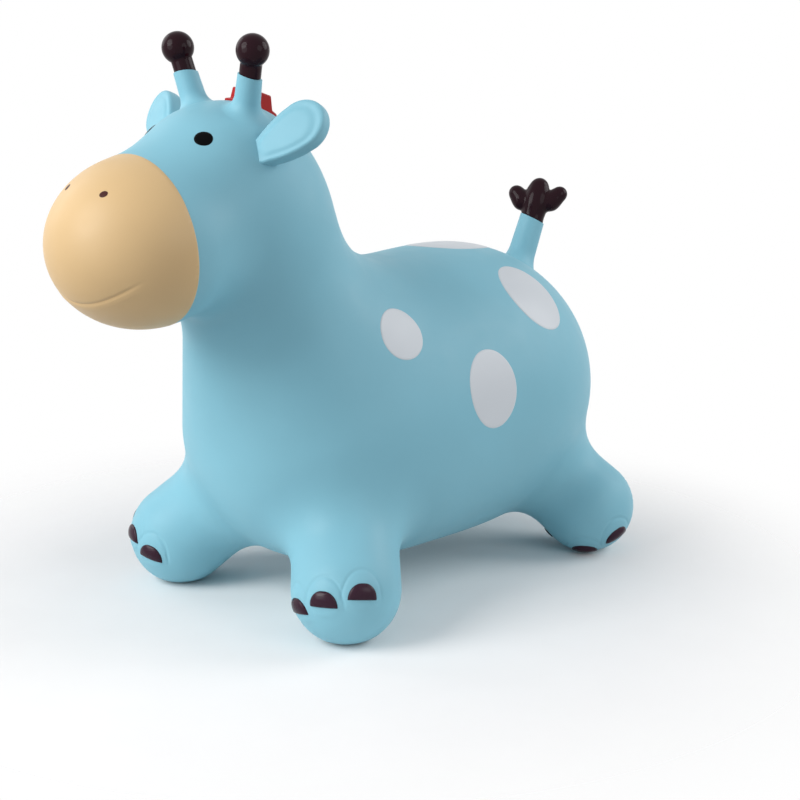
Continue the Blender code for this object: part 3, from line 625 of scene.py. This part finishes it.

# Horns: blue stems moulded in one with the head, which they leave in a soft fillet, ending in a
# dark dipped collar with a ball.  A rider grips them and they bend at the root; here the dark tips
# follow the horns' bodies and the stems are baked in place.
HORN_ROOT = np.array((0.0306, -0.129, 0.4312))
HORN_FORWARD = math.radians(6.4)
HORN_OUTWARD = math.radians(17.5)
HORN_LENGTH = 0.0290
HORN_RADII = (0.0116, 0.0092)
HORN_FILLET = 0.012
HORN_LINE_TILT = math.radians(15.0)
COLLAR_RADIUS = 0.0088
COLLAR_HEIGHT = 0.0111
TIP_RADIUS = 0.0133
TIP_GAP = 0.0002
TIP_COLUMNS = 64
COLLAR_CHAMFER = 0.0003
COLLAR_FIRST = 0.0012
COLLAR_RINGS = 5
BALL_RINGS = 25
STEM_TUCK = 0.00003
STEM_OVERRUN = 0.02
STEM_FOOT = 0.55
STEM_FOOT_RISE = 0.35
STEM_CELLS = (96, 60)
SKIRT_REACH = 1.8
LINE_SHARE = 0.5
SEAM_WIDTH = 0.00025
TURNED_LINE_SHARE = 0.25


def across_axes(axis):
    """Two directions square to an axis, the second one forward."""
    first = unit(np.cross(axis, (0.0, 1.0, 0.0)))
    return first, np.cross(axis, first)


def ringed(root, axis, rise, reach, turn):
    """Points at a rise on an axis, at a reach and a turn round it."""
    first, second = across_axes(axis)
    points = root + np.outer(rise, axis)
    return points + np.outer(np.sin(turn) * reach, first) + np.outer(np.cos(turn) * reach, second)


def wrapped(name, columns, rows, place):
    """A grid rolled into a tube; place gives points from the turn and the share along it."""
    piece = grid(name, columns, rows)
    flat = places(piece)
    set_places(piece, place(flat[:, 0] * math.pi, (flat[:, 1] + 1.0) / 2.0))
    edited(
        piece,
        ("remove_doubles", {"threshold": 0.00001}),
        ("normals_make_consistent", {"inside": False}),
    )
    return piece


def stalk(name, root, axis, length, radii, width, tilt, highest):
    """A stem drawn onto its blend with the skin, from its colour line down to the skirt's edge."""

    def stem_form(points):
        end = root + axis * (length + STEM_OVERRUN)
        return round_cone(points, root - axis * STEM_OVERRUN, end, radii)

    def blended(points):
        return fillet(skin_form(points) + STEM_TUCK, stem_form(points), width)

    def place(turn, share):
        stations = (0.0, STEM_FOOT, 1.0)
        rise = np.interp(share, stations, (length, length * STEM_FOOT_RISE, 0.0))
        reach = np.interp(share, stations, (radii[1], radii[0], radii[0] + width * SKIRT_REACH))
        tilted = np.cos(turn - highest) * math.tan(tilt) * reach
        rise = rise + tilted * np.maximum(1.0 - share / LINE_SHARE, 0.0)
        return drawn_to(blended, ringed(root, axis, rise, reach, turn))

    piece = wrapped(name, *STEM_CELLS, place)
    edited(piece, ("fill_holes", {"sides": 0}))
    return piece, blended


def merged_shading(piece, blended):
    """Turns the skirt's normals into the skin's where it dives under, so that no seam shows."""
    points = places(piece)
    merged = 1.0 - smoothstep(0.0, SEAM_WIDTH, skin_form(points))[:, None]
    normals = outward(blended, points) * (1.0 - merged) + outward(skin_form, points) * merged
    piece.data.normals_split_custom_set_from_vertices([unit(normal) for normal in normals])


def turned_piece(name, root, axis, radii, heights, columns=48, tilt=0.0):
    """A turned piece: rings of the given radii at the given heights on an axis."""
    stations = np.linspace(0.0, 1.0, len(radii))

    def place(turn, share):
        reach = np.interp(share, stations, radii)
        rise = np.interp(share, stations, heights)
        tilted = np.cos(turn) * math.tan(tilt) * reach
        rise = rise + tilted * np.interp(share, (0.0, TURNED_LINE_SHARE), (1.0, 0.0))
        return ringed(root, axis, rise, reach, turn)

    return wrapped(name, columns, len(radii) - 1, place)


def tip_profile():
    """Radii and heights of collar and ball above the colour line."""
    base = math.asin(COLLAR_RADIUS / TIP_RADIUS)
    centre = COLLAR_HEIGHT + math.sqrt(TIP_RADIUS**2 - COLLAR_RADIUS**2)
    turns = np.linspace(math.pi - base, 0.0, BALL_RINGS)
    radii = [0.0, COLLAR_RADIUS * 0.7, COLLAR_RADIUS * 0.97, COLLAR_RADIUS]
    heights = [0.0, 0.0, 0.0, COLLAR_CHAMFER]
    radii += [COLLAR_RADIUS] * COLLAR_RINGS
    heights += list(np.linspace(COLLAR_FIRST, COLLAR_HEIGHT, COLLAR_RINGS + 1)[:-1])
    radii += list(TIP_RADIUS * np.sin(turns))
    heights += list(centre + TIP_RADIUS * np.cos(turns))
    return radii, heights


for side, sign in SIDES:
    root = HORN_ROOT * (sign, 1.0, 1.0)
    axis = unit((sign * math.tan(HORN_OUTWARD), -math.tan(HORN_FORWARD), 1.0))
    horn, blended = stalk(f"blue_horn_{side}", root, axis, HORN_LENGTH, HORN_RADII, HORN_FILLET,
                          HORN_LINE_TILT, highest=0.0)
    shaded(horn, blue_vinyl)
    merged_shading(horn, blended)
    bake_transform(horn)
    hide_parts(f"horn_{side}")
    tip = turned_piece(f"dark_horn_tip_{side}", root + axis * (HORN_LENGTH + TIP_GAP), axis,
                       *tip_profile(), columns=TIP_COLUMNS, tilt=HORN_LINE_TILT)
    shaded(tip, brown_gloss)
    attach(tip, f"horn_{side}")
    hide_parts(f"horn_tip_{side}")

# Ears: thick soft leaves of the same blue vinyl, with a puffed front inside a raised rim, plugged
# into the sides of the head, where they bend on the toy; here they are baked in place.
EAR_ROOT = np.array((0.0609, -0.1352, 0.402))
EAR_AXIS = np.array((0.690, 0.460, 0.557))
EAR_FACE = np.array((0.21, -0.90, 0.37))
EAR_LENGTH = 0.0572
EAR_WIDTH = 0.0395
EAR_FRONT = 0.0085
EAR_BACK = 0.0110
EAR_GROOVE = 0.0010
EAR_GROOVE_AT = 0.78
EAR_GROOVE_HALF = 0.12
EAR_TIP = 0.62
EAR_ROOTED = 0.22
EAR_HEART = 0.40
EAR_WIDEST = 0.65
EAR_FOOT_WIDTH = 0.72
EAR_FOOT_BOXY = 0.65
EAR_INSETS = (0.30, 0.45)
EAR_LEVELS = (0.42, 0.75)
EAR_CELLS = (96, 64)


def ear_place(root, axis, face):
    """The leaf's points for wrapped, on an axis and facing the given way."""
    across = unit(np.cross(axis, face))
    front = np.cross(across, axis)

    def place(turn, share):
        """The share runs from the middle of the front over the rim to the middle of the back."""
        forth = np.cos(turn)
        aside = np.sin(turn)
        before = share < 0.5
        boxy = np.where(forth > 0.0, 1.0, EAR_FOOT_BOXY)
        along = np.where(forth > 0.0, 1.0 - EAR_TIP, EAR_TIP + EAR_ROOTED)
        along = EAR_TIP + along * np.sign(forth) * np.abs(forth) ** boxy
        swell = np.sin(np.pi / 2 * np.clip(along / EAR_WIDEST, 0.0, 1.0))
        swell = EAR_FOOT_WIDTH + (1.0 - EAR_FOOT_WIDTH) * swell
        wide = EAR_WIDTH / 2 * swell * np.sign(aside) * np.abs(aside) ** boxy
        inset = np.sin(np.pi * share) ** np.where(before, *EAR_INSETS)
        level = np.abs(np.cos(np.pi * share)) ** np.where(before, *EAR_LEVELS)
        groove = EAR_GROOVE * np.exp(-(((inset - EAR_GROOVE_AT) / EAR_GROOVE_HALF) ** 2))
        depth = np.where(before, EAR_FRONT * level - groove, -EAR_BACK * level)
        length = EAR_LENGTH * (EAR_HEART + inset * (along - EAR_HEART))
        points = root + np.outer(length, axis) + np.outer(wide * inset, across)
        return points + np.outer(depth, front)

    return place


for side, sign in SIDES:
    mirror = np.array((sign, 1.0, 1.0))
    root = EAR_ROOT * mirror
    axis = unit(EAR_AXIS) * mirror
    ear = wrapped(f"blue_ear_{side}", *EAR_CELLS, ear_place(root, axis, unit(EAR_FACE) * mirror))
    shaded(ear, blue_vinyl)
    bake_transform(ear)
    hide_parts(f"ear_{side}")

# Tail: a blue stalk that grows out of the rump in a wide fillet and bends there on the toy, with a
# dark glossy tuft of three petals on its end, which follows the tail's body; the stalk is baked in
# place.
TAIL_ROOT = np.array((0.0, 0.245, 0.2556))
TAIL_LEAN = math.radians(25.0)
TAIL_LENGTH = 0.055
TAIL_RADII = (0.0142, 0.0119)
TAIL_FILLET = 0.022
TAIL_LINE_TILT = math.radians(13.0)
TUFT_LEAN = math.radians(19.0)
TUFT_TURN = math.radians(30.0)
TUFT_HEIGHT = 0.0405
TUFT_BASE = 0.0123
TUFT_TOP = 0.0080
TUFT_BELLY = np.array((0.0127, 0.0120, 0.0165))
TUFT_FOOT = 0.0140
TUFT_ELBOW = (0.0140, 0.0175)
TUFT_TIP = (0.0215, 0.0252)
TUFT_SIDE = 0.0074
TUFT_FOLD = 0.0022
TUFT_MIDDLE = 0.0185
TUFT_SINK = 0.008
TUFT_FILLET = 0.008
TUFT_ROUNDING = 0.0010
TUFT_FACET = 0.0011
LOBE_FILLET = 0.010

tail_axis = unit((0.0, math.tan(TAIL_LEAN), 1.0))
tail, blended = stalk("blue_tail", TAIL_ROOT, tail_axis, TAIL_LENGTH, TAIL_RADII, TAIL_FILLET,
                      TAIL_LINE_TILT, highest=math.pi / 2)
shaded(tail, blue_vinyl)
merged_shading(tail, blended)
rump_out = seat(TAIL_ROOT)[1]
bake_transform(tail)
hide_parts("tail_stalk")

tuft_axis = unit((0.0, math.tan(TUFT_LEAN), 1.0))
tuft_base = TAIL_ROOT + tail_axis * (TAIL_LENGTH + TIP_GAP)
tuft_top = tuft_base + tuft_axis * (TUFT_HEIGHT - TUFT_TOP)
tuft_middle = tuft_base + tuft_axis * TUFT_MIDDLE
tuft_rows = [(tuft_base - tail_axis * TUFT_SINK, tuft_top, (TUFT_BASE, TUFT_TOP))]
for _, sign in SIDES:
    spread = np.array((math.cos(TUFT_TURN), math.sin(TUFT_TURN), 0.0)) * sign
    foot = tuft_base + tail_axis * TUFT_FOOT
    elbow = tuft_base + spread * TUFT_ELBOW[0] + tuft_axis * TUFT_ELBOW[1]
    end = tuft_base + spread * TUFT_TIP[0] + tuft_axis * TUFT_TIP[1]
    tuft_rows.append((foot, elbow, (TUFT_SIDE, TUFT_SIDE)))
    tuft_rows.append((elbow, end, (TUFT_SIDE, TUFT_SIDE)))


def tuft_form(points):
    """Signed distance to the tuft: a petal in the middle and one bent out on each side."""
    value = round_cone(points, *tuft_rows[0])
    value = fillet(value, ellipsoid(points, tuft_middle, TUFT_BELLY, -TUFT_LEAN), TUFT_FILLET)
    for first, second in (tuft_rows[1:3], tuft_rows[3:5]):
        lobe = fillet(round_cone(points, *first), round_cone(points, *second), LOBE_FILLET)
        value = fillet(value, lobe, TUFT_FOLD)
    tilted = unit(tail_axis + np.array((math.tan(TAIL_LINE_TILT), 0.0, 0.0)))
    return -fillet(-value, (points - tuft_base) @ tilted, TUFT_ROUNDING)


seeds = [ball(tuft_middle, TUFT_BELLY)]
for row in tuft_rows:
    seeds += column(*row)
tuft = remeshed("dark_tuft", seeds, TUFT_FACET, tuft_form)
shaded(tuft, brown_gloss)
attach(tuft, "tail")
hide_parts("tail_tuft")

# Mane: a small block of red vinyl moulded on the crown behind the horns, low and flanged in
# front, falling away to the back.
RED = (0.400, 0.012, 0.012)
MANE_ROUNDING = 0.0011
MANE_FRONT = -0.1125
MANE_BACK = -0.0815
MANE_WIDTH = 0.016
MANE_HEIGHT = 0.0115
MANE_FLANGE = 0.006

mane_seat = seat((0.0, MANE_FRONT, HEAD[2] + HEAD_RADII[2]))[0][2]
mane_view = (
    (MANE_FRONT - MANE_FLANGE, -0.015),
    (MANE_FRONT - MANE_FLANGE, 0.0028),
    (MANE_FRONT, 0.0030),
    (MANE_FRONT + 0.0030, MANE_HEIGHT),
    (MANE_FRONT + 0.0160, MANE_HEIGHT * 0.72),
    (MANE_BACK, MANE_HEIGHT * 0.30),
    (MANE_BACK + 0.0012, -0.0085),
    (MANE_BACK + MANE_FLANGE, -0.0118),
    (MANE_BACK + MANE_FLANGE, -0.022),
)
deselect()
bpy.ops.mesh.primitive_circle_add(vertices=len(mane_view), fill_type="NGON")
mane = bpy.context.object
mane.name = "red_mane"
mane.data.name = "red_mane"
set_places(mane, np.array([(-MANE_WIDTH / 2, back, mane_seat + rise) for back, rise in mane_view]))
edited(
    mane,
    ("extrude_region_move", {"TRANSFORM_OT_translate": {"value": (MANE_WIDTH, 0.0, 0.0)}}),
    ("normals_make_consistent", {"inside": False}),
)
applied(mane, "BEVEL", width=MANE_ROUNDING, segments=4, limit_method="ANGLE")
shaded(mane, vinyl("red vinyl", RED, roughness=0.34, mottle=0.10, grain=0.08, specular=0.20))
applied(mane, "WEIGHTED_NORMAL", keep_sharp=True)
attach(mane, "trunk")
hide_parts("mane")

# Air valve under the tail: a blue seat welded through the skin with a rolled lip, closed by a
# ribbed white plug of softer vinyl with a round head, which pulls straight out.
PLUG_WHITE = (0.72, 0.72, 0.70)
VALVE_AXIS = unit((0.0, 0.935, -0.355))
LIP_RADIUS = 0.0115
LIP_HEIGHT = 0.0014
LIP_ROUNDING = 0.0005
LIP_UNDERSIDE = (0.0006, 0.0012)
BORE_RADIUS = 0.0042
TUBE_RADIUS = 0.0072
TUBE_LENGTH = 0.016
BORE_MIDDLE = 0.4
PLUG_HEAD_RADIUS = 0.0070
PLUG_HEAD_HEIGHT = 0.0022
PLUG_LENGTH = 0.0150
PLUG_RADIUS = 0.0036
PLUG_CHAMFER = 0.0008
PLUG_CLEARANCE = 0.0003
PLUG_RIB = 0.0004
RIB_COUNT = 4
RIB_FIRST = 0.0020
RIB_PITCH = 0.0030
RIB_STEP = 0.0004
PLUG_HEAD_CHAMFER = 0.0004
PLUG_HEAD_ROUNDING = 0.0006
PLUG_DIMPLE = (0.55, 0.45)
PLUG_DIMPLE_DEPTHS = (0.0005, 0.0006)

valve_mouth = drawn_to(skin_form, np.array([middle("valve_seat")]))[0]
valve_view = (
    (BORE_RADIUS, -TUBE_LENGTH * BORE_MIDDLE),
    (BORE_RADIUS, LIP_HEIGHT - LIP_ROUNDING),
    (BORE_RADIUS + LIP_ROUNDING, LIP_HEIGHT),
    (LIP_RADIUS - LIP_ROUNDING, LIP_HEIGHT),
    (LIP_RADIUS, LIP_HEIGHT - LIP_ROUNDING),
    (LIP_RADIUS, -LIP_UNDERSIDE[0]),
    (TUBE_RADIUS, -LIP_UNDERSIDE[1]),
    (TUBE_RADIUS, -TUBE_LENGTH),
    (BORE_RADIUS, -TUBE_LENGTH),
    (BORE_RADIUS, -TUBE_LENGTH * BORE_MIDDLE),
)
valve = turned_piece("blue_valve", valve_mouth, VALVE_AXIS, *zip(*valve_view))
shaded(valve, blue_vinyl)
applied(valve, "WEIGHTED_NORMAL", keep_sharp=True)
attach(valve, "trunk")
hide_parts("valve_seat")

plug_view = [
    (0.0, -PLUG_LENGTH),
    (PLUG_RADIUS - PLUG_CHAMFER, -PLUG_LENGTH),
    (PLUG_RADIUS, -PLUG_LENGTH + PLUG_CHAMFER),
]
for rib in range(RIB_COUNT):
    foot = -PLUG_LENGTH + RIB_FIRST + rib * RIB_PITCH
    for step, height in enumerate((0.0, PLUG_RIB, PLUG_RIB, 0.0)):
        plug_view.append((PLUG_RADIUS + height, foot + RIB_STEP * step))
head_foot = LIP_HEIGHT + PLUG_CLEARANCE
head_top = head_foot + PLUG_HEAD_HEIGHT
plug_view += [
    (PLUG_RADIUS, head_foot),
    (PLUG_HEAD_RADIUS - PLUG_HEAD_CHAMFER, head_foot),
    (PLUG_HEAD_RADIUS, head_foot + PLUG_HEAD_CHAMFER),
    (PLUG_HEAD_RADIUS, head_top - PLUG_HEAD_ROUNDING),
    (PLUG_HEAD_RADIUS - PLUG_HEAD_ROUNDING, head_top),
    (PLUG_HEAD_RADIUS * PLUG_DIMPLE[0], head_top),
    (PLUG_HEAD_RADIUS * PLUG_DIMPLE[1], head_top - PLUG_DIMPLE_DEPTHS[0]),
    (0.0, head_top - PLUG_DIMPLE_DEPTHS[1]),
]
plug = turned_piece("white_plug", valve_mouth, VALVE_AXIS, *zip(*plug_view))
shaded(plug, vinyl("plug vinyl", PLUG_WHITE, roughness=0.40, mottle=0.03, grain=0.05, specular=0.5))
applied(plug, "WEIGHTED_NORMAL", keep_sharp=True)
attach(plug, "plug")
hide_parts("air_plug")

# Floor, light and camera: a pale floor that keeps the contact shadow and fades out round it, large
# round lights in front, on both sides and behind, and a plain room with white behind everything.
FLOOR_GREY = (0.90, 0.89, 0.88)
FLOOR_SIZE = 3.0
FLOOR_DROP = 0.0002
FLOOR_FADE = (0.22, 0.56)
LIGHT_AIM = Vector((0.0, 0.0, 0.22))
LIGHTS = (
    ("key light", (-0.55, -1.75, 1.45), 1.4, 31.0),
    ("low light", (-0.30, -1.90, 0.70), 1.4, 11.5),
    ("fill light", (1.90, 0.15, 0.95), 1.2, 6.5),
    ("side light", (-1.80, -0.40, 1.20), 1.4, 5.5),
    ("rear light", (1.10, 1.60, 1.20), 1.4, 19.0),
)
ROOM_TINT = (0.90, 0.93, 1.0, 1.0)
ROOM_STRENGTH = 0.36
CAMERA_PLACE = (1.0409136, -1.0140458, 0.52488)
CAMERA_TURN = math.radians(43.943)
CAMERA_PITCH = math.radians(13.7806)

deselect()
bpy.ops.mesh.primitive_plane_add(size=FLOOR_SIZE, location=(0.0, 0.0, -FLOOR_DROP))
floor = bpy.context.object
floor.name = "floor"
pale = vinyl("floor", FLOOR_GREY, roughness=0.80, mottle=0.01, grain=0.0, specular=0.0)
nodes = pale.node_tree.nodes
links = pale.node_tree.links
distance = nodes.new("ShaderNodeVectorMath")
distance.operation = "LENGTH"
fade = nodes.new("ShaderNodeMapRange")
fade.interpolation_type = "SMOOTHSTEP"
fade.inputs["From Min"].default_value = FLOOR_FADE[0]
fade.inputs["From Max"].default_value = FLOOR_FADE[1]
clear = nodes.new("ShaderNodeBsdfTransparent")
mixer = nodes.new("ShaderNodeMixShader")
links.new(nodes["Texture Coordinate"].outputs["Object"], distance.inputs[0])
links.new(distance.outputs["Value"], fade.inputs["Value"])
links.new(fade.outputs["Result"], mixer.inputs["Fac"])
links.new(nodes["Principled BSDF"].outputs["BSDF"], mixer.inputs[1])
links.new(clear.outputs["BSDF"], mixer.inputs[2])
links.new(mixer.outputs["Shader"], nodes["Material Output"].inputs["Surface"])
shaded(floor, pale)

for name, place, size, power in LIGHTS:
    deselect()
    bpy.ops.object.light_add(type="AREA", location=place)
    light = bpy.context.object
    light.name = name
    light.data.shape = "DISK"
    light.data.size = size
    light.data.energy = power
    light.rotation_euler = (LIGHT_AIM - Vector(place)).to_track_quat("-Z", "Y").to_euler()

world = bpy.data.worlds.new("studio")
bpy.context.scene.world = world
world.use_nodes = True
nodes = world.node_tree.nodes
links = world.node_tree.links
room = nodes["Background"]
room.inputs["Color"].default_value = ROOM_TINT
room.inputs["Strength"].default_value = ROOM_STRENGTH
backdrop = nodes.new("ShaderNodeBackground")
backdrop.inputs["Color"].default_value = (1.0, 1.0, 1.0, 1.0)
backdrop.inputs["Strength"].default_value = 1.0
path = nodes.new("ShaderNodeLightPath")
seen = nodes.new("ShaderNodeMath")
seen.operation = "MAXIMUM"
links.new(path.outputs["Is Camera Ray"], seen.inputs[0])
links.new(path.outputs["Is Transmission Ray"], seen.inputs[1])
shown = nodes.new("ShaderNodeMath")
shown.operation = "MAXIMUM"
links.new(seen.outputs["Value"], shown.inputs[0])
links.new(path.outputs["Is Glossy Ray"], shown.inputs[1])
mixer = nodes.new("ShaderNodeMixShader")
links.new(shown.outputs["Value"], mixer.inputs["Fac"])
links.new(room.outputs["Background"], mixer.inputs[1])
links.new(backdrop.outputs["Background"], mixer.inputs[2])
links.new(mixer.outputs["Shader"], nodes["World Output"].inputs["Surface"])

deselect()
camera_turn = (math.pi / 2 - CAMERA_PITCH, 0.0, CAMERA_TURN)
bpy.ops.object.camera_add(location=CAMERA_PLACE, rotation=camera_turn)
camera = bpy.context.object
camera.data.lens = 75.376
camera.data.sensor_width = 36.0
camera.data.shift_x = 0.0128
camera.data.dof.use_dof = False
bpy.context.scene.camera = camera
bpy.context.scene.view_settings.view_transform = "Standard"
